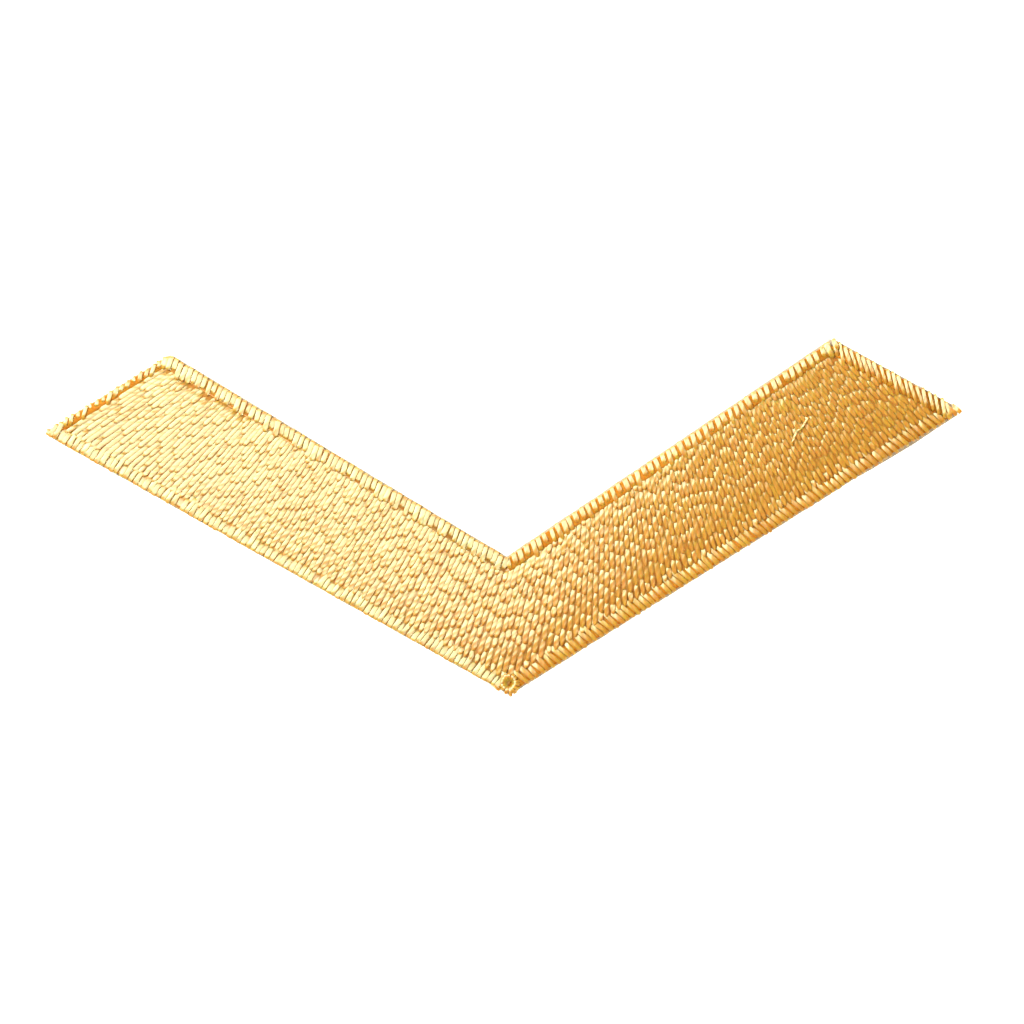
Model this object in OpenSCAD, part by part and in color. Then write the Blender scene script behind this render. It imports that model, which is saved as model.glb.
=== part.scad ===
// Rank chevron patch: one V-shaped bar of gold stitching on a cut ground cloth.
// It lies on its back. X runs along the span, Y up the chevron, Z out of the stitched face.
// The origin is on the flat back, at the middle of the patch's length and height.

/* [Outline] */
// Overall width, over the rounded tips
span = 76; // [60:1:100]
// Width of the bar at its cut ends, square to the lower edge
end_w = 11; // [9:0.1:14]
// Width of the bar at the point, square to the lower edge
point_w = 10; // [8.5:0.1:13]
// Slope of the two lower edges, in degrees
arm_rise = 30.7; // [22:0.1:38]
// Slope of the cut ends as they fall outwards, in degrees
end_cut = 30.3; // [22:0.1:42]
// Radius of the outer corners
corner_r = 0.55; // [0.3:0.05:0.9]

/* [Ground cloth] */
// Thickness of the ground cloth
cloth_t = 1; // [0.8:0.05:1.6]
// Width of the cut cloth that shows outside the edging
cloth_rim = 0.12; // [0.05:0.01:0.25]

/* [Edging] */
// Usual width of the satin-stitched edging
edging_w = 1.25; // [1:0.05:1.3]
// Height of the edging above the cloth
edging_h = 0.85; // [0.75:0.01:1.2]
// Gap between two runs where they meet at a corner
run_gap = 0.06; // [0.04:0.01:0.12]

/* [Field] */
// Height of the stitched field above the cloth, at the middle of the bar
field_h = 0.75; // [0.55:0.01:1]
// Height of the field at its edge, in the valley beside the edging
field_edge_h = 0.4; // [0.25:0.01:0.5]
// Gap between the field and the edging
field_gap = 0.08; // [0.05:0.01:0.15]

/* [Tie-off] */
// Diameter of the tie-off at the point
tie_off_d = 1.6; // [1.3:0.05:1.8]
// Thickness of the thread coil that forms the tie-off
tie_off_coil_d = 0.62; // [0.4:0.02:0.64]
// Gap around the tie-off
tie_off_gap = 0.05; // [0.03:0.01:0.08]

/* [Hidden] */
$fn = 48;

// Gap under what is stitched onto the cloth
seat_gap = 0.05;
stitch_z = cloth_t + seat_gap;
// Flats in each rounded corner, and how far a cut runs past the edging
corner_steps = 6;
cut_reach = 2;
gold = "goldenrod";
pale_gold = "khaki";

// Corners of the outline, counter-clockwise from the point
POINT = 0;
RIGHT_TIP = 1;
RIGHT_TOP = 2;
NOTCH = 3;
LEFT_TOP = 4;
LEFT_TIP = 5;

// Vector helpers
function heading(a) = [cos(a), sin(a)];
function unit(v) = v / norm(v);
function left_of(v) = [-v.y, v.x];
function mirrored(p) = [-p.x, p.y];
function mix(a, b, share) = a + (b - a) * share;
function at(points, i) = points[(i + len(points)) % len(points)];
function side(points, i) = unit(at(points, i + 1) - at(points, i));
function turn(points, i) =
    let (into = side(points, i - 1), out = side(points, i))
    atan2(into.x * out.y - into.y * out.x, into * out);

// A polygon moved inwards, by d on every side or by a list with a distance for each side
function inset(points, d) = [
    for (i = [0 : len(points) - 1])
        let (
            n0 = left_of(side(points, i - 1)), n1 = left_of(side(points, i)),
            d0 = is_list(d) ? at(d, i - 1) : d, d1 = is_list(d) ? d[i] : d,
            c = n0 * n1
        )
        points[i] + (n0 * (d0 - c * d1) + n1 * (d1 - c * d0)) / (1 - c * c)
];

// The same polygon with arcs of radius r on its outward corners
function rounded(points, r) = let (centres = inset(points, r)) [
    for (i = [0 : len(points) - 1])
        let (swing = turn(points, i), out = -left_of(side(points, i - 1)), start = atan2(out.y, out.x))
        each swing < 0 ? [points[i]]
            : [for (k = [0 : corner_steps]) centres[i] + r * heading(start + swing * k / corner_steps)]
];

// Sharp outline with the point at zero height
tip_angle = arm_rise + end_cut;
tip_x = span / 2 - corner_r + corner_r / sin(tip_angle / 2) * cos((arm_rise - end_cut) / 2);
right_tip = [tip_x, tip_x * tan(arm_rise)];
right_top = right_tip + end_w / sin(tip_angle) * heading(180 - end_cut);
notch = [0, point_w / cos(arm_rise)];
sharp = [[0, 0], right_tip, right_top, notch, mirrored(right_top), mirrored(right_tip)];
corner_centres = inset(sharp, corner_r);
low_y = corner_centres[POINT].y - corner_r;
high_y = corner_centres[RIGHT_TOP].y + corner_r;
outline = [for (p = sharp) p - [0, (low_y + high_y) / 2]];

// Width of each run of edging, as a share of the usual width. A run goes from its corner to the next.
run_share = [
    1.13, // right lower
    1.03, // right end
    0.9, // right upper
    0.9, // left upper
    0.65, // left end
    0.97 // left lower
];
run_w = [for (share = run_share) share * edging_w];

// Lines that the stitching follows
edging_outer = inset(outline, cloth_rim);
edging_inner = inset(outline, [for (w = run_w) cloth_rim + w]);
field_line = inset(outline, [for (w = run_w) cloth_rim + w + field_gap]);
edging_trim = rounded(inset(outline, cloth_rim / 2), corner_r - cloth_rim / 2);
tie_off_centre = inset(outline, cloth_rim + tie_off_d / 2)[POINT];

// Lift of the field across the bar, from the lower edge to the upper: [share of the width, share of the lift]
field_across = [
    [0, 0], [0.04, 0.5], [0.12, 0.82], [0.28, 0.97], [0.5, 1],
    [0.72, 0.97], [0.88, 0.82], [0.96, 0.5], [1, 0]
];
// Lift along one arm, from its cut end to the point: [share of the arm, share of the lift]
field_along = [
    [0, 0], [0.03, 0.55], [0.08, 0.85], [0.2, 1], [0.38, 0.95], [0.56, 1], [0.76, 0.95], [1, 1]
];

module ground_cloth() {
    color("ivory")
        linear_extrude(cloth_t)
            polygon(rounded(outline, corner_r));
}

// The crowned pad of fill stitches, as one sheet from the left end round the point to the right end
function arm_row(tip, top, row, across) =
    let (
        low = mix(field_line[tip], field_line[POINT], row[0]),
        high = mix(field_line[top], field_line[NOTCH], row[0]),
        p = mix(low, high, across[0]),
        lift = row[1] * across[1]
    )
    [p.x, p.y, stitch_z + field_edge_h + (field_h - field_edge_h) * lift];

module field() {
    rows = len(field_along);
    columns = len(field_across);
    sections = 2 * rows - 1;
    last = sections - 1;
    top = [
        for (i = [0 : last])
            for (across = field_across)
                i < rows
                    ? arm_row(LEFT_TIP, LEFT_TOP, field_along[i], across)
                    : arm_row(RIGHT_TIP, RIGHT_TOP, field_along[last - i], across)
    ];
    base = [
        for (i = [0 : last])
            for (j = [0, columns - 1])
                let (p = top[i * columns + j])
                [p.x, p.y, stitch_z]
    ];
    under = len(top);
    top_faces = [
        for (i = [0 : last - 1])
            for (j = [0 : columns - 2])
                let (a = i * columns + j, b = a + columns)
                each [[a, a + 1, b + 1], [a, b + 1, b]]
    ];
    strip_faces = [
        for (i = [0 : last - 1])
            let (a = i * columns, b = a + columns, low = under + 2 * i)
            each [
                [low, low + 2, low + 3, low + 1],
                [a, b, low + 2, low],
                [b + columns - 1, a + columns - 1, low + 1, low + 3]
            ]
    ];
    end_faces = [
        concat([for (j = [columns - 1 : -1 : 0]) j], [under, under + 1]),
        concat([for (j = [0 : columns - 1]) last * columns + j], [under + 2 * last + 1, under + 2 * last])
    ];
    color(gold)
        difference() {
            polyhedron(points = concat(top, base), faces = concat(top_faces, strip_faces, end_faces), convexity = 4);
            tie_off_seat();
        }
}

// Round-topped bead of satin stitches, along X from zero, with Y to the inside of the patch
module bead(length, w) {
    skirt = edging_h - w / 2;
    rotate([90, 0, 90])
        linear_extrude(length)
            union() {
                square([w, skirt]);
                translate([w / 2, skirt])
                    intersection() {
                        circle(w / 2);
                        translate([-w / 2, 0])
                            square([w, w / 2]);
                    }
            }
}

// The cut through a run at corner i, square to it beside the tie-off and on the mitre elsewhere:
// two points past the edging's outer and inner lines. The run leaves the corner along away.
function run_cut(i, away) =
    let (
        m = unit(edging_inner[i] - edging_outer[i]),
        square = left_of(away) * sign(left_of(away) * m),
        middle = (edging_outer[i] + edging_inner[i]) / 2 + left_of(m) * sign(left_of(m) * away) * run_gap / 2
    )
    i == POINT ? [tie_off_centre - square * cut_reach, tie_off_centre + square * cut_reach]
        : [middle - m * cut_reach, middle + m * cut_reach];

// One run of edging, from corner i to the next
module run(i) {
    next = (i + 1) % len(outline);
    step = side(edging_outer, i);
    first = run_cut(i, step);
    last = run_cut(next, -step);
    start = edging_outer[i];
    color(pale_gold)
        difference() {
            intersection() {
                translate([start.x, start.y, stitch_z])
                    rotate(atan2(step.y, step.x))
                        bead(norm(edging_outer[next] - start), run_w[i]);
                linear_extrude(stitch_z + 2 * edging_h)
                    polygon([first[0], last[0], last[1], first[1]]);
                linear_extrude(stitch_z + 2 * edging_h)
                    polygon(edging_trim);
            }
            if (i == POINT || next == POINT)
                tie_off_seat();
        }
}

module edging_right_lower() run(POINT);
module edging_right_end() run(RIGHT_TIP);
module edging_right_upper() run(RIGHT_TOP);
module edging_left_upper() run(NOTCH);
module edging_left_end() run(LEFT_TOP);
module edging_left_lower() run(LEFT_TIP);

// Round space for the tie-off, cut out of the stitching beside it
module tie_off_seat() {
    translate([tie_off_centre.x, tie_off_centre.y, cloth_t])
        cylinder(d = tie_off_d + 2 * tie_off_gap, h = 2 * edging_h);
}

// The coil of thread that ties off the edging at the point: a ring with a dimple in the middle
module tie_off() {
    coil_r = tie_off_coil_d / 2;
    ring_r = tie_off_d / 2 - coil_r;
    color(gold)
        translate([tie_off_centre.x, tie_off_centre.y, stitch_z])
            union() {
                translate([0, 0, edging_h - coil_r])
                    rotate_extrude()
                        translate([ring_r, 0])
                            circle(coil_r);
                cylinder(r = ring_r + coil_r / 2, h = edging_h - coil_r);
            }
}

ground_cloth();
field();
edging_right_lower();
edging_right_end();
edging_right_upper();
edging_left_upper();
edging_left_end();
edging_left_lower();
tie_off();
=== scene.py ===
import math
import random

import bmesh
import bpy
from mathutils import Matrix, Vector, noise
from mathutils.geometry import intersect_line_line_2d


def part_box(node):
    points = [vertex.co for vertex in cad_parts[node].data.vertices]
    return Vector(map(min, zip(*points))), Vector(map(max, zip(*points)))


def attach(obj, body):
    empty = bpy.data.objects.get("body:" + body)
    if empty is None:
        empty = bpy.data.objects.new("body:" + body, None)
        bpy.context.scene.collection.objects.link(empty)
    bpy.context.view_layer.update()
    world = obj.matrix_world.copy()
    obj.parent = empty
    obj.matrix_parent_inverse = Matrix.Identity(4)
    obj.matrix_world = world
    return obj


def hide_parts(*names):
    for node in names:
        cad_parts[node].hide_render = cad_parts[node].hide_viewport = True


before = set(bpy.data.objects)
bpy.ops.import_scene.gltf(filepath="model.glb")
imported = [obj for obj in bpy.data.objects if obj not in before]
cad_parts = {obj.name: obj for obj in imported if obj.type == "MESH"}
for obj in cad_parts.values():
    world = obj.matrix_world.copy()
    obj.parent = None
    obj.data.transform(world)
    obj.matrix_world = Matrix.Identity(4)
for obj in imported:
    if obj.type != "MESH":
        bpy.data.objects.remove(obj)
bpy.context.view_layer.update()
print("frame loaded")

mm = 0.001
up = Vector((0, 0, 1))

# the V's outline: lengths in metres, slopes in degrees
patch = {
    "endWidth": 11 * mm,
    "pointWidth": 10 * mm,
    "armRise": 30.7,
    "endCut": 30.3,
    "cornerRadius": 0.55 * mm,
    "clothRim": 0.12 * mm,
    "fieldGap": 0.08 * mm,
}

# One entry for each run of edging, from its corner to the next; their widths give the field's line too. Reach: how
# much of the width the stitches cross. Slant: degrees from +X. Cover: the share of its space that a stitch fills.
# Thick: a stitch's thickness, as a share of its arch's height. Taper: its width at the inner end. Arch: where its
# crest lies across the run, then the height of its outer and inner shoulders.
edging = {
    "right_lower": {
        "corner": 0, "width": 1.41 * mm, "reach": 1, "pitch": 0.52 * mm, "slant": 136.5,
        "cover": 0.76, "thick": 0.15, "taper": 0.95, "arch": (0.26, 0.84, 0.54),
    },
    "right_end": {
        "corner": 1, "width": 1.29 * mm, "reach": 1, "pitch": 0.56 * mm, "slant": 101,
        "cover": 0.68, "thick": 0.15, "taper": 0.85, "arch": (0.8, 0.5, 0.8),
    },
    "right_upper": {
        "corner": 2, "width": 1.125 * mm, "reach": 1, "pitch": 0.62 * mm, "slant": 109,
        "cover": 0.68, "thick": 0.14, "taper": 0.6, "arch": (0.76, 0.56, 0.86),
    },
    "left_upper": {
        "corner": 3, "width": 1.125 * mm, "reach": 1, "pitch": 0.47 * mm, "slant": 70,
        "cover": 0.95, "thick": 0.11, "taper": 0.65, "arch": (0.9, 0.72, 0.92),
    },
    "left_end": {
        "corner": 4, "width": 0.8125 * mm, "reach": 0.72, "pitch": 0.6 * mm, "slant": 72,
        "cover": 0.9, "thick": 0.13, "taper": 0.8, "arch": (0.7, 0.74, 0.8),
    },
    "left_lower": {
        "corner": 5, "width": 1.2125 * mm, "reach": 1, "pitch": 0.45 * mm, "slant": 54,
        "cover": 1.0, "thick": 0.1, "taper": 0.8, "arch": (0.2, 0.88, 0.8),
    },
}


def heading(degrees):
    return Vector((math.cos(math.radians(degrees)), math.sin(math.radians(degrees))))


def leftOf(v):
    return Vector((-v.y, v.x))


def sideOf(points, i):
    return (points[(i + 1) % len(points)] - points[i % len(points)]).normalized()


# moves each side of a closed outline inward by its own distance
def insetBy(points, distances):
    moved = []
    for i, p in enumerate(points):
        before, after = leftOf(sideOf(points, i - 1)), leftOf(sideOf(points, i))
        d0, d1, c = distances[i - 1], distances[i], before.dot(after)
        moved.append(p + (before * (d0 - c * d1) + after * (d1 - c * d0)) / (1 - c * c))
    return moved


# the outline's six sharp corners, counter-clockwise from the point
def chevronCorners(clothBox):
    tipAngle = math.radians(patch["armRise"] + patch["endCut"])
    lean = math.radians(patch["armRise"] - patch["endCut"]) / 2
    r = patch["cornerRadius"]
    tipX = clothBox[1].x - r + r / math.sin(tipAngle / 2) * math.cos(lean)
    tip = Vector((tipX, tipX * math.tan(math.radians(patch["armRise"]))))
    top = tip + heading(180 - patch["endCut"]) * patch["endWidth"] / math.sin(tipAngle)
    notch = Vector((0, patch["pointWidth"] / math.cos(math.radians(patch["armRise"]))))
    sharp = [Vector((0, 0)), tip, top, notch, Vector((-top.x, top.y)), Vector((-tip.x, tip.y))]
    centres = insetBy(sharp, [r] * 6)
    middle = (centres[0].y - r + centres[2].y + r) / 2
    return [p - Vector((0, middle)) for p in sharp]


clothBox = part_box("ground_cloth")
clothTop = clothBox[1].z
outline = chevronCorners(clothBox)
runWidths = [run["width"] for run in edging.values()]
edgingOuter = insetBy(outline, [patch["clothRim"]] * 6)
edgingInner = insetBy(outline, [patch["clothRim"] + w for w in runWidths])
fieldLine = insetBy(outline, [patch["clothRim"] + w + patch["fieldGap"] for w in runWidths])


def roundedCorners(points, radius, steps):
    centres = insetBy(points, [radius] * len(points))
    path = []
    for i, centre in enumerate(centres):
        before, after = sideOf(points, i - 1), sideOf(points, i)
        swing = math.degrees(math.atan2(before.x * after.y - before.y * after.x, before.dot(after)))
        # the notch stays sharp
        if swing < 0:
            path.append(points[i].copy())
            continue
        start = math.degrees(math.atan2(-leftOf(before).y, -leftOf(before).x))
        path += [centre + heading(start + swing * k / steps) * radius for k in range(steps + 1)]
    return path


def finishPiece(bm, name, material, replaced=()):
    mesh = bpy.data.meshes.new(name)
    bm.to_mesh(mesh)
    bm.free()
    mesh.materials.append(material)
    mesh.shade_smooth()
    piece = bpy.data.objects.new(name, mesh)
    bpy.context.scene.collection.objects.link(piece)
    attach(piece, "root")
    if replaced:
        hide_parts(*replaced)
    return piece


# shader groups


def newGroup(name, inputs, outputs):
    group = bpy.data.node_groups.new(name, "ShaderNodeTree")
    for label, kind in inputs:
        group.interface.new_socket(label, in_out="INPUT", socket_type="NodeSocket" + kind)
    for label, kind in outputs:
        group.interface.new_socket(label, in_out="OUTPUT", socket_type="NodeSocket" + kind)
    return group, group.nodes.new("NodeGroupInput").outputs, group.nodes.new("NodeGroupOutput").inputs


def mathNode(tree, operation, a, b=None, clamp=False):
    node = tree.nodes.new("ShaderNodeMath")
    node.operation = operation
    node.use_clamp = clamp
    for socket, value in zip(node.inputs, (a, b)):
        if isinstance(value, (int, float)):
            socket.default_value = value
        elif value is not None:
            tree.links.new(value, socket)
    return node.outputs[0]


def mixColour(tree, factor, a, b):
    node = tree.nodes.new("ShaderNodeMix")
    node.data_type = "RGBA"
    for socket, value in ((node.inputs[0], factor), (node.inputs[6], a), (node.inputs[7], b)):
        if isinstance(value, tuple):
            socket.default_value = (*value, 1)
        else:
            tree.links.new(value, socket)
    return node.outputs[2]


def noiseNode(tree, vector, scale, detail, roughness):
    node = tree.nodes.new("ShaderNodeTexNoise")
    node.inputs["Scale"].default_value = scale
    node.inputs["Detail"].default_value = detail
    node.inputs["Roughness"].default_value = roughness
    tree.links.new(vector, node.inputs["Vector"])
    return node.outputs["Fac"]


# what every thread shares: how its fibres and twist show, how the painted shade on its flanks, in its twist grooves
# and in its needle holes falls off, and what they add to its roughness
threadGrain = {
    "fibresAlong": 1.6,
    "fibresAround": 10,
    "fibreBelow": 0.75,
    "grooveShadeBelow": 0.55,
    "flankShadeSlope": 3.4,
    "flankShadeCurve": 1.6,
    "holeSlope": 6.5,
    "fibreRoughness": 0.1,
    "holeRoughness": 0.43,
    "lotRoughness": 0.12,
}


# twisted thread: along and around run from 0 to 1, and length and needle hole are in mm
def makeThreadGroup():
    group, ins, outs = newGroup(
        "twistedThread",
        [
            ("Along", "Float"), ("Around", "Float"), ("Length", "Float"), ("Lot", "Float"), ("Plies per mm", "Float"),
            ("Crown", "Color"), ("Painted flank shade", "Color"), ("Dark tone and shade", "Color"), ("Roughness", "Float"),
            ("Needle hole", "Float"), ("Lot shade", "Float"), ("Fibre shade", "Float"),
            ("Painted groove shade", "Float"), ("Painted hole shade", "Float"),
        ],
        [("Colour", "Color"), ("Roughness", "Float"), ("Height", "Float")],
    )

    def plus(a, b):
        return mathNode(group, "ADD", a, b)

    def minus(a, b):
        return mathNode(group, "SUBTRACT", a, b)

    def times(a, b, clamp=False):
        return mathNode(group, "MULTIPLY", a, b, clamp)

    run = times(ins["Along"], ins["Length"])
    turns = times(run, ins["Plies per mm"])
    wave = mathNode(group, "SINE", times(plus(turns, times(ins["Around"], 2)), 2 * math.pi))
    groove = plus(times(wave, 0.5), 0.5)
    place = group.nodes.new("ShaderNodeCombineXYZ")
    group.links.new(times(run, threadGrain["fibresAlong"]), place.inputs[0])
    group.links.new(plus(times(ins["Around"], threadGrain["fibresAround"]), turns), place.inputs[1])
    fibre = noiseNode(group, place.outputs[0], scale=1.6, detail=3, roughness=0.6)
    # painted shade darkens the flanks, so the crown is paler; 0.5 around is the top
    offTop = mathNode(group, "ABSOLUTE", minus(ins["Around"], 0.5))
    paintedFlankShade = mathNode(group, "POWER", times(offTop, threadGrain["flankShadeSlope"], True), threadGrain["flankShadeCurve"])
    lotShade = times(minus(1, ins["Lot"]), ins["Lot shade"])
    fibreShade = times(minus(threadGrain["fibreBelow"], fibre), ins["Fibre shade"], True)
    # painted shade in the grooves between the twisted plies
    paintedGrooveShade = times(minus(threadGrain["grooveShadeBelow"], groove), ins["Painted groove shade"], True)
    # dull where the needle went in, and darkened there with painted shade
    offMiddle = mathNode(group, "ABSOLUTE", minus(ins["Along"], 0.5))
    fromEnd = times(minus(0.5, offMiddle), ins["Length"])
    hole = times(minus(ins["Needle hole"], fromEnd), threadGrain["holeSlope"], True)
    colour = mixColour(group, paintedFlankShade, ins["Crown"], ins["Painted flank shade"])
    # the lot and fibre shares are the thread's own tone; the groove and hole shares are painted shade
    for share in (lotShade, fibreShade, paintedGrooveShade, times(hole, ins["Painted hole shade"])):
        colour = mixColour(group, share, colour, ins["Dark tone and shade"])
    rough = plus(ins["Roughness"], times(minus(fibre, 0.5), threadGrain["fibreRoughness"]))
    rough = plus(rough, times(hole, threadGrain["holeRoughness"]))
    rough = plus(rough, times(lotShade, threadGrain["lotRoughness"]))
    group.links.new(colour, outs["Colour"])
    group.links.new(rough, outs["Roughness"])
    group.links.new(plus(groove, times(fibre, 0.5)), outs["Height"])
    return group


# rough padding thread, seen between stitches: its streaks are its own tone, and its deeper gold is painted shade
def makePaddingGroup():
    group, ins, outs = newGroup(
        "shadedPaddingThread",
        [("Place", "Vector"), ("Deep", "Color"), ("Pale", "Color")],
        [("Colour", "Color"), ("Height", "Float")],
    )
    streak = noiseNode(group, ins["Place"], scale=2600, detail=3, roughness=0.7)
    group.links.new(mixColour(group, streak, ins["Deep"], ins["Pale"]), outs["Colour"])
    group.links.new(streak, outs["Height"])
    return group


threadGroup = makeThreadGroup()
paddingGroup = makePaddingGroup()


# gold thread: colours are linear, the shades are shares of the dark colour, some the thread's own tone and some
# painted shade, and the needle hole's reach is in mm
goldThread = {
    "crown": (0.622, 0.324, 0.014),
    # painted shade: the colour the thread's flanks are darkened to
    "paintedFlankShade": (0.6, 0.266, 0.01),
    # the thread's own darker tone for the lot and fibre shades, and the colour of the painted shade in grooves and
    # holes
    "darkToneAndShade": (0.52, 0.175, 0.006),
    # the padding's streak colours, kept deeper than the stitches as painted shade in the gaps between them
    "shadedPaddingDeep": (0.42, 0.13, 0.008),
    "shadedPaddingPale": (0.5, 0.23, 0.03),
    "pliesPerMm": 1.4,
    "needleHole": 0.27,
    "lotShade": 0.65,
    "fibreShade": 0.5,
    # painted shade in the ply grooves, as a share of the dark colour
    "paintedGrooveShade": 0.8,
    # painted shade in the needle holes, as a share of the dark colour
    "paintedHoleShade": 0.45,
    "relief": 0.02 * mm,
    "paddingRelief": 0.03 * mm,
    "roughness": 0.55,
    "ior": 2.25,
    "tint": (0.81, 1, 0.7, 1),
    "anisotropy": 0.92,
    "translucency": 0.8,
    "depth": 0.4 * mm,
    "bleed": (1, 0.5, 0.15),
}
edgingGold = {**goldThread, "crown": (0.65, 0.358, 0.02), "ior": 2.3, "relief": 0.012 * mm, "needleHole": 0.12}


def newMaterial(name):
    material = bpy.data.materials.new(name)
    material.use_nodes = True
    return material, material.node_tree, material.node_tree.nodes["Principled BSDF"]


def placeGroup(tree, group, values):
    node = tree.nodes.new("ShaderNodeGroup")
    node.node_tree = group
    for label, value in values.items():
        node.inputs[label].default_value = (*value, 1) if isinstance(value, tuple) else value
    return node


def readAttribute(tree, name):
    node = tree.nodes.new("ShaderNodeAttribute")
    node.attribute_name = name
    return node.outputs["Fac"]


def addBump(tree, shader, height, distance, strength=1):
    bump = tree.nodes.new("ShaderNodeBump")
    bump.inputs["Strength"].default_value = strength
    bump.inputs["Distance"].default_value = distance
    tree.links.new(height, bump.inputs["Height"])
    tree.links.new(bump.outputs[0], shader.inputs["Normal"])


# the fibres run along the thread, so its gloss spreads across it
def setSheen(tree, shader, look, gloss, translucency):
    shader.inputs["IOR"].default_value = look["ior"]
    shader.inputs["Specular IOR Level"].default_value = gloss
    shader.inputs["Specular Tint"].default_value = look["tint"]
    shader.inputs["Subsurface Weight"].default_value = translucency
    shader.inputs["Subsurface Radius"].default_value = look["bleed"]
    shader.inputs["Subsurface Scale"].default_value = look["depth"]
    shader.inputs["Anisotropic"].default_value = look["anisotropy"]
    shader.inputs["Anisotropic Rotation"].default_value = 0.25
    tangent = tree.nodes.new("ShaderNodeTangent")
    tangent.direction_type = "UV_MAP"
    tangent.uv_map = "thread"
    tree.links.new(tangent.outputs[0], shader.inputs["Tangent"])


def makeThreadMaterial(name, look):
    material, tree, shader = newMaterial(name)
    uv = tree.nodes.new("ShaderNodeUVMap")
    uv.uv_map = "thread"
    split = tree.nodes.new("ShaderNodeSeparateXYZ")
    tree.links.new(uv.outputs[0], split.inputs[0])
    thread = placeGroup(tree, threadGroup, {
        "Crown": look["crown"], "Painted flank shade": look["paintedFlankShade"], "Dark tone and shade": look["darkToneAndShade"], "Roughness": look["roughness"],
        "Plies per mm": look["pliesPerMm"], "Needle hole": look["needleHole"], "Lot shade": look["lotShade"],
        "Fibre shade": look["fibreShade"], "Painted groove shade": look["paintedGrooveShade"], "Painted hole shade": look["paintedHoleShade"],
    })
    tree.links.new(split.outputs[0], thread.inputs["Along"])
    tree.links.new(split.outputs[1], thread.inputs["Around"])
    tree.links.new(readAttribute(tree, "lot"), thread.inputs["Lot"])
    tree.links.new(readAttribute(tree, "reach"), thread.inputs["Length"])
    tree.links.new(thread.outputs["Colour"], shader.inputs["Base Color"])
    tree.links.new(thread.outputs["Roughness"], shader.inputs["Roughness"])
    setSheen(tree, shader, look, 1, look["translucency"])
    addBump(tree, shader, thread.outputs["Height"], look["relief"])
    return material


def makePaddingMaterial(name, look, gloss):
    material, tree, shader = newMaterial(name)
    padding = placeGroup(tree, paddingGroup, {"Deep": look["shadedPaddingDeep"], "Pale": look["shadedPaddingPale"]})
    tree.links.new(tree.nodes.new("ShaderNodeTexCoord").outputs["Object"], padding.inputs["Place"])
    tree.links.new(padding.outputs["Colour"], shader.inputs["Base Color"])
    shader.inputs["Roughness"].default_value = look["roughness"]
    setSheen(tree, shader, look, gloss, 1)
    addBump(tree, shader, padding.outputs["Height"], look["paddingRelief"])
    return material


fillThread = makeThreadMaterial("fill_thread", goldThread)
edgingThread = makeThreadMaterial("edging_thread", edgingGold)
fillUnderlay = makePaddingMaterial("fill_underlay", goldThread, 0.6)
edgingUnderlay = makePaddingMaterial("edging_underlay", goldThread, 0)

# cream twill: colours are linear
twill = {
    "deep": (0.4, 0.33, 0.215),
    "pale": (0.52, 0.445, 0.32),
    "weaveScale": 700,
    "weaveDistortion": 1.2,
    "fuzzScale": 4000,
    "relief": 0.06 * mm,
    "reliefStrength": 0.6,
    "roughness": 0.9,
    "sheen": 0.3,
}


def makeClothMaterial():
    material, tree, shader = newMaterial("ground_cloth")
    place = tree.nodes.new("ShaderNodeTexCoord").outputs["Object"]
    wave = tree.nodes.new("ShaderNodeTexWave")
    wave.bands_direction = "DIAGONAL"
    wave.inputs["Scale"].default_value = twill["weaveScale"]
    wave.inputs["Distortion"].default_value = twill["weaveDistortion"]
    tree.links.new(place, wave.inputs["Vector"])
    fuzz = noiseNode(tree, place, twill["fuzzScale"], detail=4, roughness=0.7)
    tree.links.new(mixColour(tree, fuzz, twill["deep"], twill["pale"]), shader.inputs["Base Color"])
    shader.inputs["Roughness"].default_value = twill["roughness"]
    shader.inputs["Sheen Weight"].default_value = twill["sheen"]
    height = mathNode(tree, "ADD", wave.outputs["Fac"], fuzz)
    addBump(tree, shader, height, twill["relief"], twill["reliefStrength"])
    return material


clothMaterial = makeClothMaterial()
print("materials ready")


# thread pieces: a template stitch is copied, placed and joined


# along the thread in U and around it in V, with no face torn at the seam
def wrapUv(bm):
    layer = bm.loops.layers.uv.new("thread")

    def around(co):
        return math.atan2(co.y, co.z) / (2 * math.pi) + 0.5

    for face in bm.faces:
        anchor = around(face.calc_center_median())
        for loop in face.loops:
            turn = around(loop.vert.co)
            if turn - anchor > 0.5:
                turn -= 1
            if anchor - turn > 0.5:
                turn += 1
            loop[layer].uv = (loop.vert.co.x, turn)


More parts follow.
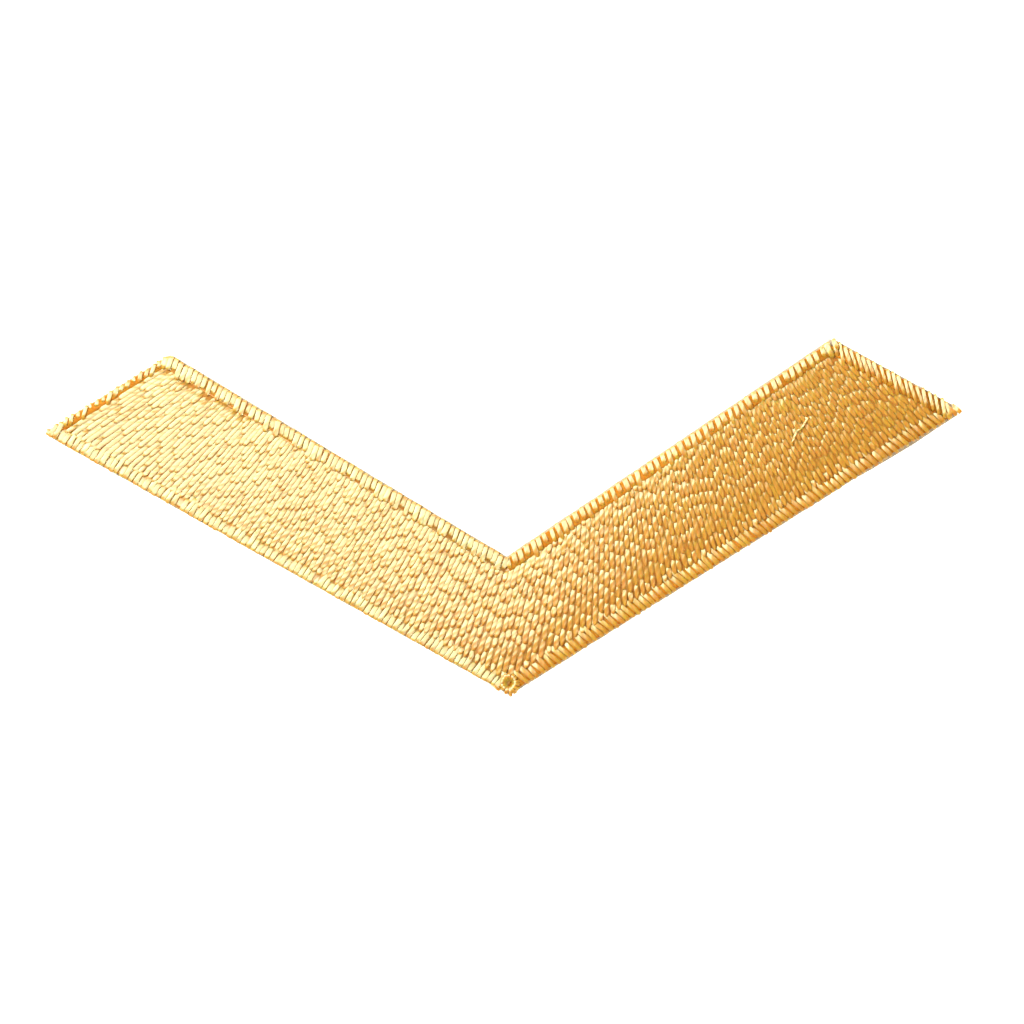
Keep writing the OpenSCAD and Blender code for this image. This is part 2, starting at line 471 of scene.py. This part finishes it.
# A stitch one unit long, wide and high: rows of x, z and the share of the thread's full width there. Gauge is its
# thickness. Follow turns the rings to the path, and body is how much of its height a narrow ring keeps.
def sewnThread(name, gauge, path, follow=0, body=0):
    bm = bmesh.new()
    bmesh.ops.create_circle(bm, segments=8, radius=0.5)
    bmesh.ops.rotate(bm, verts=bm.verts, matrix=Matrix.Rotation(math.radians(90), 3, "Y"))
    steps = [math.hypot(x1 - x0, follow * (z1 - z0)) for (x0, z0, _), (x1, z1, _) in zip(path, path[1:])]
    start = edge = bm.edges[:]
    rings = [bm.verts[:]]
    for step in steps:
        grown = bmesh.ops.extrude_edge_only(bm, edges=edge)["geom"]
        edge = [g for g in grown if isinstance(g, bmesh.types.BMEdge)]
        rings.append([g for g in grown if isinstance(g, bmesh.types.BMVert)])
        bmesh.ops.translate(bm, vec=(step / sum(steps), 0, 0), verts=rings[-1])
    for edges in (start, edge):
        bmesh.ops.contextual_create(bm, geom=edges)
    bmesh.ops.recalc_face_normals(bm, faces=bm.faces)
    wrapUv(bm)
    for k, (verts, (x, z, size)) in enumerate(zip(rings, path)):
        before, after = path[max(k - 1, 0)], path[min(k + 1, len(path) - 1)]
        tilt = follow * math.atan2(after[1] - before[1], after[0] - before[0])
        bmesh.ops.translate(bm, vec=(-sum(steps[:k]) / sum(steps), 0, 0), verts=verts)
        bmesh.ops.scale(bm, vec=(1, size, (size + (1 - size) * body) * gauge), verts=verts)
        bmesh.ops.rotate(bm, verts=verts, matrix=Matrix.Rotation(-tilt, 3, "Y"))
        bmesh.ops.translate(bm, vec=(x, 0, z), verts=verts)
    mesh = bpy.data.meshes.new(name)
    bm.to_mesh(mesh)
    bm.free()
    return mesh


# a placing is a template, a matrix, the thread's lot from 0 to 1, and its length in mm
def layThreads(name, placings, material, replaced=()):
    bm = bmesh.new()
    for template, matrix, *_ in placings:
        copy = template.copy()
        copy.transform(matrix)
        bm.from_mesh(copy)
        bpy.data.meshes.remove(copy)
    piece = finishPiece(bm, name, material, replaced)
    for label, column in (("lot", 2), ("reach", 3)):
        layer = piece.data.attributes.new(label, "FLOAT", "POINT")
        layer.data.foreach_set("value", [p[column] for p in placings for _ in p[0].vertices])


# stretches a template between two points
def stitchMatrix(start, end, width, thickness):
    along = (end - start).normalized()
    across = up.cross(along).normalized()
    lift = along.cross(across)
    size = Matrix.Diagonal(((end - start).length, width, thickness))
    return Matrix.Translation((start + end) / 2) @ (Matrix((along, across, lift)).transposed() @ size).to_4x4()


# The field: rows of short stitches that turn with the bar. The tables go along it, from -1 at the left end to 1.
# Turn is in degrees from +X, cover a share of the pitch, and the other tables in mm. Gaps: x, y, radius, in mm. The
# spreads are how far single rows and stitches differ, as shares.
field = {
    "turn": [
        (-1, 31), (-0.7, 49), (-0.5, 56), (-0.3, 58), (-0.1, 66),
        (0.1, 78), (0.3, 91), (0.5, 106), (0.8, 120), (1, 131),
    ],
    "pitch": [(-1, 0.37), (-0.65, 0.37), (-0.4, 0.41), (0, 0.45), (0.3, 0.43), (0.7, 0.38), (1, 0.38)],
    "stitch": [(-1, 2.2), (-0.85, 1.8), (-0.45, 1.6), (0, 1.4), (0.4, 1.2), (1, 1.15)],
    "cover": [(-1, 1.12), (-0.5, 1.08), (0, 1), (0.4, 1.05), (1, 1.1)],
    "thickness": [(-1, 0.13), (-0.4, 0.15), (0, 0.19), (1, 0.16)],
    "shingle": [(-1, 0.045), (-0.4, 0.055), (-0.1, 0.1), (0.1, 0.1), (0.3, 0.085), (0.6, 0.08), (1, 0.06)],
    "unevenness": [(-1, 0.015), (0, 0.02), (0.3, 0.032), (1, 0.036)],
    "shortTop": [(-1, 0.55), (-0.8, 0.45), (-0.7, 0), (1, 0)],
    "firstRow": -1.001,
    "lastRow": 1.12,
    "shortestRow": 0.4 * mm,
    "shortestEnd": 0.35,
    "shortestBrick": 0.4,
    "brick": 0.36,
    "longStitch": 1.75 * mm,
    "pastEdge": 0.3 * mm,
    "overlap": 0.16 * mm,
    "sway": 0.045 * mm,
    "lean": 0.05,
    "leanLength": 1.3 * mm,
    "shortSpread": (0, 1.3),
    "rowSpread": (0.94, 1.06),
    "brickSpread": 0.17,
    "cutSpread": 0.15,
    "lengthSpread": (0.78, 1.22),
    "widthSpread": (0.88, 1.1),
    "thicknessSpread": (0.9, 1.1),
    "lotPatches": 0.4,
    "lotPatchScale": 900,
    "edgeHeights": [0.52 * mm, 0.67 * mm, 0.7 * mm, 0.69 * mm, 0.68 * mm, 0.64 * mm],
    "rimWidth": 2.2 * mm,
    "lump": 0.04 * mm,
    "lumpScale": 420,
    "endReach": 0.22 * mm,
    "gaps": [(27.8, 12.95, 0.5), (36.6, 8.75, 0.6), (-35.75, 8.0, 0.5)],
}
fieldBase = clothTop + 0.05 * mm
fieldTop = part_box("field")[1].z


def tableValue(table, s):
    if s <= table[0][0]:
        return table[0][1]
    for (s0, a), (s1, b) in zip(table, table[1:]):
        if s <= s1:
            return a + (b - a) * (s - s0) / (s1 - s0)
    return table[-1][1]


# the field's crown, which drops towards its rim
def fieldHeight(p):
    drop = 0
    for i, (a, edgeHeight) in enumerate(zip(fieldLine, field["edgeHeights"])):
        b = fieldLine[(i + 1) % 6]
        share = max(0, min(1, (p - a).dot(b - a) / (b - a).length_squared))
        near = min(1, (a + (b - a) * share - p).length / field["rimWidth"])
        drop = max(drop, (fieldTop - fieldBase - edgeHeight) * (1 - near) ** 3)
    return fieldTop - drop + noise.noise(Vector((p.x, p.y, 0)) * field["lumpScale"]) * field["lump"]


# the rows reach past the field's line at the left end, where the edging is short
pastLine = [0, 0, 0, 0, field["endReach"], 0]
sewLine = insetBy(outline, [patch["clothRim"] + w + patch["fieldGap"] - r for w, r in zip(runWidths, pastLine)])
leftMiddle = (fieldLine[5] + fieldLine[4]) / 2
mitreMiddle = (fieldLine[0] + fieldLine[3]) / 2
rightMiddle = (fieldLine[1] + fieldLine[2]) / 2


# the bar's middle line, from -1 at the left end through 0 at the mitre to 1
def barMiddle(s):
    return mitreMiddle + ((leftMiddle - mitreMiddle) * -s if s < 0 else (rightMiddle - mitreMiddle) * s)


# how far a row reaches either way from the bar's middle
def rowSpan(centre, aim):
    long = 25 * mm
    cuts = []
    for i, a in enumerate(sewLine):
        hit = intersect_line_line_2d(centre - aim * long, centre + aim * long, a, sewLine[(i + 1) % 6])
        if hit:
            cuts.append((hit - centre).dot(aim))
    cuts.sort()
    spans = [(a, b) for a, b in zip(cuts[::2], cuts[1::2]) if b - a > field["shortestRow"]]
    return min(spans, key=lambda ab: max(ab[0], -ab[1], 0), default=None)


# where a row's needle holes lie, in bricks that differ a little
def rowCuts(low, high, length, phase, rng):
    cuts = [low]
    t = low + (phase % 1) * length
    while t < high - field["shortestEnd"] * length:
        if t - cuts[-1] > field["shortestBrick"] * length:
            cuts.append(t + rng.uniform(-1, 1) * field["cutSpread"] * length)
        t += length * rng.uniform(*field["lengthSpread"])
    cuts.append(high)
    return cuts


# a short stitch slopes down under the next one
shortFill = sewnThread("shortFill", 1, [
    (-0.5, -0.4, 0.2), (-0.43, -0.02, 0.5), (-0.27, 0.07, 0.84), (0, 0.06, 1),
    (0.22, 0, 0.84), (0.42, -0.24, 0.44), (0.5, -0.5, 0.16),
], body=0.5)
longFill = sewnThread("longFill", 1, [
    (-0.5, -0.32, 0.3), (-0.45, -0.05, 0.65), (-0.36, 0, 0.92), (0, 0, 1),
    (0.36, 0, 0.92), (0.45, -0.05, 0.65), (0.5, -0.32, 0.3),
], body=0.5)


# where stitches were missed, and the padding shows
def isGap(p):
    return any((p - Vector((x, y)) * mm).length < radius * mm for x, y, radius in field["gaps"])


def layField():
    rng = random.Random(11)
    placings = []
    s, row, phase = field["firstRow"], 0, 0
    while s < field["lastRow"]:
        aim, cover = heading(tableValue(field["turn"], s)), tableValue(field["cover"], s)
        pitch, length, usualThickness, shingle, uneven, short = [
            tableValue(field[key], s) * mm
            for key in ("pitch", "stitch", "thickness", "shingle", "unevenness", "shortTop")
        ]
        short *= rng.uniform(*field["shortSpread"])
        centre, nudge = barMiddle(s), 0.01
        # the pitch is measured square to the thread
        armStep = barMiddle(s + nudge) - centre
        squareStep = abs(armStep.x * aim.y - armStep.y * aim.x)
        span = rowSpan(centre, aim)
        s += nudge * pitch / squareStep * rng.uniform(*field["rowSpread"])
        row += 1
        phase += field["brick"] + rng.uniform(-1, 1) * field["brickSpread"]
        if not span:
            continue
        cuts = rowCuts(span[0] - field["pastEdge"], span[1] + field["pastEdge"] - short, length, phase, rng)
        side = leftOf(aim)
        for a, b in zip(cuts, cuts[1:]):
            if isGap(centre + aim * (a + b) / 2):
                continue
            a, b = a - field["overlap"], b + field["overlap"]
            shift = rng.uniform(-1, 1) * field["sway"]
            lean = rng.uniform(-1, 1) * field["lean"] * min(b - a, field["leanLength"])
            p, q = centre + aim * a + side * (shift - lean / 2), centre + aim * b + side * (shift + lean / 2)
            # each stitch comes up over the one before it and goes down under the next
            start, end = [
                point.to_3d() + up * (fieldHeight(point) - 0.5 * usualThickness + lift + rng.uniform(-1, 1) * uneven)
                for point, lift in ((p, shingle), (q, -shingle))
            ]
            width = pitch * cover * rng.uniform(*field["widthSpread"])
            thickness = usualThickness * rng.uniform(*field["thicknessSpread"])
            template = longFill if b - a > field["longStitch"] else shortFill
            patchLot = 0.5 + noise.noise(p.to_3d() * field["lotPatchScale"])
            lot = (1 - field["lotPatches"]) * rng.random() + field["lotPatches"] * patchLot
            placings.append((template, stitchMatrix(start, end, width, thickness), lot, (b - a) / mm))
    print("field rows", row, "stitches", len(placings))
    return placings


# a loose end of thread that lies on the right arm: its path in mm
looseThread = {
    "path": [(25.4, 7.95), (24.9, 7.15), (24.45, 6.85), (24.05, 5.95)],
    "width": 0.19 * mm,
    "thickness": 0.16 * mm,
    "lift": 0.06 * mm,
    "join": 0.12 * mm,
}


def layLooseThread():
    points = [Vector(point) * mm for point in looseThread["path"]]
    placings = []
    for a, b in zip(points, points[1:]):
        start, end = [point.to_3d() + up * (fieldHeight(point) + looseThread["lift"]) for point in (a, b)]
        join = (end - start).normalized() * looseThread["join"]
        matrix = stitchMatrix(start - join, end + join, looseThread["width"], looseThread["thickness"])
        placings.append((longFill, matrix, 1, 2))
    return placings


layThreads("field_stitches", layField() + layLooseThread(), fillThread, ["field"])

# the padding under the field: depth is in mm under the stitches, along the bar
fieldPadding = {
    "depth": [(-1, 0.08), (-0.5, 0.08), (0, 0.11), (1, 0.11)],
    "grid": (120, 28),
    "reach": 0.6,
    "bareRim": 0.55 * mm,
    "bareBefore": -21 * mm,
    "bareSlant": 134,
}


# lays each face's thread direction into its UV map
def combUv(bm, aimAt):
    layer = bm.loops.layers.uv.new("thread")
    for face in bm.faces:
        middle = face.calc_center_median()
        aim = aimAt(middle)
        for loop in face.loops:
            offset = (loop.vert.co - middle) / mm
            loop[layer].uv = (offset.to_2d().dot(aim), offset.to_2d().dot(leftOf(aim)) + offset.z)


def isBare(p):
    endDistance = (p - sewLine[4]).dot(leftOf(sideOf(sewLine, 4)))
    topDistance = (p - fieldLine[3]).dot(leftOf(sideOf(fieldLine, 3)))
    onRim = topDistance < fieldPadding["bareRim"] and p.x < fieldPadding["bareBefore"]
    return endDistance < 0 or isGap(p) or onRim


# the padding lies along the stitches over it, and crosswise where it is bare
def paddingAim(p):
    if isBare(p.to_2d()):
        return heading(fieldPadding["bareSlant"])
    return heading(tableValue(field["turn"], p.x / rightMiddle.x))


def layFieldPadding():
    bm = bmesh.new()
    columns, rows = fieldPadding["grid"]
    padLine = insetBy(outline, [patch["clothRim"] + w * fieldPadding["reach"] for w in runWidths])
    bmesh.ops.create_grid(bm, x_segments=columns, y_segments=rows, size=1)
    for v in bm.verts:
        s, share = v.co.x, (v.co.y + 1) / 2
        tip, top = (5, 4) if s < 0 else (1, 2)
        p, sewn = [
            line[0].lerp(line[tip], abs(s)).lerp(line[3].lerp(line[top], abs(s)), share)
            for line in (padLine, fieldLine)
        ]
        depth = tableValue(fieldPadding["depth"], s) * mm
        v.co = p.to_3d() + up * (min(fieldHeight(sewn), fieldHeight(p)) - depth)
    top = bm.faces[:]
    walls = bmesh.ops.extrude_face_region(bm, geom=top, use_keep_orig=True)["geom"]
    for v in [g for g in walls if isinstance(g, bmesh.types.BMVert)]:
        v.co.z = fieldBase
    bmesh.ops.recalc_face_normals(bm, faces=bm.faces)
    combUv(bm, paddingAim)
    finishPiece(bm, "field_underlay", fillUnderlay)


layFieldPadding()
print("field sewn")


# The edging: satin stitches over a raised bead, one run for each side. Crest: its height as a share of the whole.
# The spreads are shares, and wander is a share of the pitch.
satin = {
    "top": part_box("edging_left_lower")[1].z,
    "foot": clothTop + 0.02 * mm,
    "crest": 0.88,
    "crestReach": 0.08,
    "shoulder": 0.42,
    "lean": 7,
    "wander": 0.12,
    "rimSpread": (0.2, 1.1),
    "over": (-0.32 * mm, 0.4 * mm),
    "cornerOverlap": 1.1 * mm,
    "cornerRim": 0.06 * mm,
    "shortest": 0.45 * mm,
    "squash": 0.55,
    "widthSpread": (0.85, 1.15),
    "heightSpread": (0.96, 1.02),
    "lengthPerReach": 1.6,
}
satinHeight = satin["top"] - satin["foot"]

# the tie-off: a small eyelet of stitches that dip into a hole, clear of the other stitches
tieOff = {
    "diameter": 1.6 * mm,
    "holeRadius": 0.176 * mm,
    "clear": 0.6 * mm,
    "stitches": 14,
    "threadWidth": 0.28 * mm,
    "pointReach": 0.38,
    "pointFrom": 0.8,
    "turnSpread": 5,
    "reachSpread": (0.49, 0.53),
    "heightSpread": (0.97, 1.02),
}
tieOffCentre = insetBy(outline, [patch["clothRim"] + tieOff["diameter"] / 2] * 6)[0]


def makeArch(name, thick, crest, outer, inner, taper):
    high, shoulder, inset = satin["crest"], satin["shoulder"], 0.05
    middle = crest - 0.5
    rise, fall = middle - satin["crestReach"], min(middle + satin["crestReach"], shoulder)
    path = [(-0.46, 0, 0.6), (-0.46, outer - 0.1, 0.8), (-0.43, outer - 0.02, 0.95)]
    # a ring on each long slope, just inside the shoulder
    if rise > -0.3:
        path.append((inset - shoulder, outer + (high - outer) * inset / (rise + shoulder), 1))
    path += [(rise, high, 1), (fall, high, 0.7 + 0.3 * taper)]
    if fall < 0.3:
        path.append((shoulder - inset, inner + (high - inner) * inset / (shoulder - fall), 0.1 + 0.9 * taper))
    path += [(0.43, inner - 0.02, 0.9 * taper), (0.5, inner - 0.09, 0.3 * taper)]
    return sewnThread(name, thick, path, follow=1)


# the part of a stitch that lies inside the sides next to its run
def keptInside(p, q, corners):
    for i in corners:
        inward = leftOf(sideOf(outline, i))
        dp, dq = [(end - outline[i % 6]).dot(inward) - satin["cornerRim"] for end in (p, q)]
        if dp < 0 and dq < 0:
            return p, p
        if dp < 0:
            p = p + (q - p) * dp / (dp - dq)
        elif dq < 0:
            q = q + (p - q) * dq / (dq - dp)
    return p, q


# whether a stitch would run through the tie-off
def isTiedOff(p, q):
    share = max(0, min(1, (tieOffCentre - p).dot(q - p) / (q - p).length_squared))
    return (p.lerp(q, share) - tieOffCentre).length < tieOff["clear"]


# a stitch that stands on its foot line from p to q
def standStitch(template, p, q, width, height, rng):
    a, b = p.to_3d() + up * satin["foot"], q.to_3d() + up * satin["foot"]
    length = satin["lengthPerReach"] * (b - a).length / mm
    return template, stitchMatrix(a, b, width, height), rng.random(), length


# the two ends of a run's middle line
def runEnds(run):
    return [(edgingOuter[k % 6] + edgingInner[k % 6]) / 2 for k in (run["corner"], run["corner"] + 1)]


def layEdging(name, run, rng):
    i = run["corner"]
    start, end = runEnds(run)
    step = (end - start).normalized()
    inward = leftOf(step)
    aim = heading(run["slant"])
    if aim.dot(inward) < 0:
        aim = -aim
    reach = run["width"] / aim.dot(inward)
    short = reach * (1 - run["reach"])
    arch = makeArch(name, run["thick"], *run["arch"], run["taper"])
    placings = []
    length = (end - start).length
    count = round(length / run["pitch"])
    squeeze = abs(step.x * aim.y - step.y * aim.x)
    # no run overlaps its neighbour at the notch, corner 3
    beside = [j for j, corner in ((i - 1, i), (i + 1, i + 1)) if corner != 3]
    extra = round(satin["cornerOverlap"] / run["pitch"])
    for k in range(-extra, count + extra):
        if (k < 0 and i == 3) or (k >= count and i == 2):
            continue
        centre = start + step * (k + 0.5 + rng.uniform(-1, 1) * satin["wander"]) * length / count
        out = reach * 0.5 + rng.uniform(*satin["rimSpread"]) * patch["clothRim"]
        into = reach * 0.5 + rng.uniform(*satin["over"]) - short
        way = aim.copy()
        way.rotate(Matrix.Rotation(math.radians(rng.uniform(-1, 1) * satin["lean"]), 2))
        p, q = keptInside(centre - way * out, centre + way * into, beside)
        if (q - p).length < satin["shortest"]:
            continue
        width = run["pitch"] * squeeze * run["cover"] * rng.uniform(*satin["widthSpread"])
        squash = min(1, satin["squash"] + (1 - satin["squash"]) * (q - p).length / reach)
        height = satinHeight * squash * rng.uniform(*satin["heightSpread"])
        placing = standStitch(arch, p, q, width, height, rng)
        if not isTiedOff(p, q):
            placings.append(placing)
    layThreads("satin_" + name, placings, edgingThread, ["edging_" + name])


edgingRng = random.Random(5)
for name, run in edging.items():
    layEdging(name, run, edgingRng)
print("edging sewn")

# the padding under the edging: sink is how much lower it lies than its run's arch, as a share of the height
edgingPadding = {
    "left_edging_underlay": {
        "runs": ["left_upper", "left_lower"], "material": fillUnderlay, "slant": 50, "sink": 0.055,
    },
    "edging_underlay": {
        "runs": ["right_lower", "right_end", "right_upper", "left_end"],
        "material": edgingUnderlay, "slant": 134, "sink": 0.08,
    },
}


def layEdgingPadding(name, padding):
    bm = bmesh.new()
    sink = padding["sink"]
    for run in [edging[runName] for runName in padding["runs"]]:
        a, b = runEnds(run)
        step = (b - a).normalized()
        crest, outer, inner = run["arch"]
        section = [
            (-0.46, 0), (-0.44, outer - sink), (crest - 0.5, satin["crest"] - sink),
            (0.42, inner - sink), (0.5, inner - sink - 0.12), (0.5, 0),
        ]
        corners = []
        for x, z in section:
            across = leftOf(step) * x * run["width"]
            corners.append(bm.verts.new((a + across).to_3d() + up * (satin["foot"] + z * satinHeight)))
        face = bm.faces.new(corners)
        grown = bmesh.ops.extrude_face_region(bm, geom=[face], use_keep_orig=True)["geom"]
        bmesh.ops.translate(bm, vec=(b - a).to_3d(), verts=[g for g in grown if isinstance(g, bmesh.types.BMVert)])
    bmesh.ops.recalc_face_normals(bm, faces=bm.faces)
    combUv(bm, lambda p: heading(padding["slant"]))
    finishPiece(bm, name, padding["material"])


for name, padding in edgingPadding.items():
    layEdgingPadding(name, padding)
print("edging padding laid")

# the ground cloth: its cut wavers and frays, and more cloth was left along the right lower side
cloth = {
    "cornerSteps": 6,
    "edgeStep": 0.6 * mm,
    "edgeRound": 0.08 * mm,
    "waver": 0.05 * mm,
    "waverScale": 700,
    "bulge": 0.16 * mm,
    "bulgeAt": 34 * mm,
    "bulgeReach": 5 * mm,
    "bulgeBelow": 8.6 * mm,
    "fibres": 900,
    "fibreLength": (0.12 * mm, 0.42 * mm),
    "fibreWidth": 0.03 * mm,
    "fibreRoot": 0.1 * mm,
    "fibreShift": 0.4 * mm,
    "fibreHeight": (0.06, 0.95),
    "fibreSlant": 0.9,
    "fibreDroop": (-0.12 * mm, 0.06 * mm),
    "fibreLowest": 0.03 * mm,
}


def cutEdge():
    corners = roundedCorners(outline, patch["cornerRadius"], cloth["cornerSteps"])
    path = []
    for i, a in enumerate(corners):
        b = corners[(i + 1) % len(corners)]
        pieces = max(1, round((b - a).length / cloth["edgeStep"]))
        out = -leftOf(sideOf(corners, i))
        for k in range(pieces):
            p = a.lerp(b, k / pieces)
            waver = noise.noise(p.to_3d() * cloth["waverScale"]) * cloth["waver"]
            near = max(0, 1 - abs(p.x - cloth["bulgeAt"]) / cloth["bulgeReach"])
            leftOver = near * (p.y < cloth["bulgeBelow"]) * cloth["bulge"]
            path.append((p + out * (waver + leftOver), out))
    return path


def cutCloth():
    bm = bmesh.new()
    corners = [bm.verts.new(p.to_3d()) for p, _ in cutEdge()]
    face = bm.faces.new(corners)
    grown = bmesh.ops.extrude_face_region(bm, geom=[face], use_keep_orig=True)["geom"]
    top = [g for g in grown if isinstance(g, bmesh.types.BMVert)]
    bmesh.ops.translate(bm, vec=up * clothTop, verts=top)
    rims = [e for e in bm.edges if len({v.co.z for v in e.verts}) == 1]
    bmesh.ops.bevel(
        bm, geom=rims, affect="EDGES", offset=cloth["edgeRound"], segments=2, profile=0.5, material=-1
    )
    bmesh.ops.recalc_face_normals(bm, faces=bm.faces)
    return finishPiece(bm, "ground_cloth_cut", clothMaterial, ["ground_cloth"])


def frayCloth():
    rng = random.Random(8)
    path = cutEdge()
    fibre = sewnThread("fibre", 1, [(-0.5, 0, 1), (0, 0.6, 0.8), (0.5, -0.4, 0.3)])
    placings = []
    for _ in range(cloth["fibres"]):
        p, out = rng.choice(path)
        along = leftOf(out)
        root = p + along * rng.uniform(-1, 1) * cloth["fibreShift"] - out * cloth["fibreRoot"]
        start = root.to_3d() + up * rng.uniform(*cloth["fibreHeight"]) * clothTop
        way = (out + along * rng.uniform(-1, 1) * cloth["fibreSlant"]).normalized().to_3d()
        end = start + way * (cloth["fibreRoot"] + rng.uniform(*cloth["fibreLength"]))
        end.z = max(cloth["fibreLowest"], end.z + rng.uniform(*cloth["fibreDroop"]))
        matrix = stitchMatrix(start, end, cloth["fibreWidth"], cloth["fibreWidth"])
        placings.append((fibre, matrix, rng.random(), 1))
    layThreads("ground_cloth_fray", placings, clothMaterial)


clothPiece = cutCloth()
frayCloth()
print("ground cloth cut")


def layTieOff():
    rng = random.Random(3)
    coil = sewnThread("coil", 0.2, [
        (-0.46, 0, 0.8), (-0.458, 0.7, 0.9), (-0.42, 0.84, 1), (-0.1, 0.88, 1),
        (0.15, 0.85, 0.9), (0.34, 0.74, 0.7), (0.5, 0.55, 0.5),
    ], follow=1)
    placings = []
    for k in range(tieOff["stitches"]):
        way = heading(360 * (k + 0.5) / tieOff["stitches"] + rng.uniform(-1, 1) * tieOff["turnSpread"])
        # the lowest ones reach down to the point
        low = max(0, (-way.y - tieOff["pointFrom"]) / (1 - tieOff["pointFrom"]))
        reach = 1 + tieOff["pointReach"] * low
        p = tieOffCentre + way * tieOff["diameter"] * rng.uniform(*tieOff["reachSpread"]) * reach
        q = tieOffCentre + way * tieOff["holeRadius"]
        height = satinHeight * rng.uniform(*tieOff["heightSpread"])
        placings.append(standStitch(coil, p, q, tieOff["threadWidth"], height, rng))
    layThreads("tie_off_eyelet", placings, edgingThread, ["tie_off"])


layTieOff()
print("tie-off sewn")

# the template stitches are spent
for mesh in [m for m in bpy.data.meshes if not m.users]:
    bpy.data.meshes.remove(mesh)


# stage, lights and camera: angles in degrees, powers in watts
studio = {
    "photoRoll": 1.4,
    "lens": 100,
    "sensor": 36,
    "fieldOfView": 85.44 * mm,
    "aim": Vector((0.54, 0.73, 1.5)) * mm,
    "lightDistance": 0.5,
    "lightSize": (0.22, 0.3),
    "keyAzimuth": 138,
    "keyElevation": 42,
    "keyPower": 4.9,
    "fillElevation": 50,
    "fillPower": 1.65,
    "worldStrength": 0.29,
    "worldColour": (1, 0.88, 0.66, 1),
    "floorSize": 2,
    "floorColour": (0.92, 0.92, 0.92, 1),
    "floorGlow": 0.85,
}


def layFloor():
    bm = bmesh.new()
    bmesh.ops.create_grid(bm, x_segments=1, y_segments=1, size=studio["floorSize"])
    mesh = bpy.data.meshes.new("floor")
    bm.to_mesh(mesh)
    bm.free()
    floor = bpy.data.objects.new("floor", mesh)
    bpy.context.scene.collection.objects.link(floor)
    material, _, shader = newMaterial("floor_paper")
    shader.inputs["Base Color"].default_value = studio["floorColour"]
    shader.inputs["Roughness"].default_value = 1
    shader.inputs["Specular IOR Level"].default_value = 0
    shader.inputs["Emission Color"].default_value = (1, 1, 1, 1)
    shader.inputs["Emission Strength"].default_value = studio["floorGlow"]
    mesh.materials.append(material)


def areaLight(name, azimuth, elevation, power, glossy):
    data = bpy.data.lights.new(name, "AREA")
    data.shape = "ELLIPSE"
    data.size, data.size_y = studio["lightSize"]
    data.energy = power
    lamp = bpy.data.objects.new(name, data)
    lamp.visible_glossy = glossy
    flatWay = heading(azimuth) * math.cos(math.radians(elevation))
    way = Vector((flatWay.x, flatWay.y, math.sin(math.radians(elevation))))
    lamp.location = way * studio["lightDistance"]
    lamp.rotation_euler = way.to_track_quat("Z", "Y").to_euler()
    bpy.context.scene.collection.objects.link(lamp)


# The key light gives the thread its gloss. The warm sky adds a little, and the fill none.
def setLights():
    areaLight("key", studio["keyAzimuth"], studio["keyElevation"], studio["keyPower"], True)
    areaLight("fill", studio["keyAzimuth"] + 180, studio["fillElevation"], studio["fillPower"], False)
    world = bpy.data.worlds.new("studio")
    world.use_nodes = True
    world.node_tree.nodes["Background"].inputs[0].default_value = studio["worldColour"]
    world.node_tree.nodes["Background"].inputs[1].default_value = studio["worldStrength"]
    bpy.context.scene.world = world


# straight above, turned as the photo is
def setCamera():
    data = bpy.data.cameras.new("camera")
    data.lens = studio["lens"]
    data.sensor_width = studio["sensor"]
    data.clip_start = 0.01
    camera = bpy.data.objects.new("camera", data)
    roll = Matrix.Rotation(math.radians(-studio["photoRoll"]), 4, "Z")
    height = studio["fieldOfView"] * studio["lens"] / studio["sensor"]
    camera.matrix_world = Matrix.Translation(roll @ studio["aim"] + up * height) @ roll
    bpy.context.scene.collection.objects.link(camera)
    bpy.context.scene.camera = camera


layFloor()
setLights()
setCamera()
bpy.context.scene.view_settings.view_transform = "Standard"
print("studio ready")
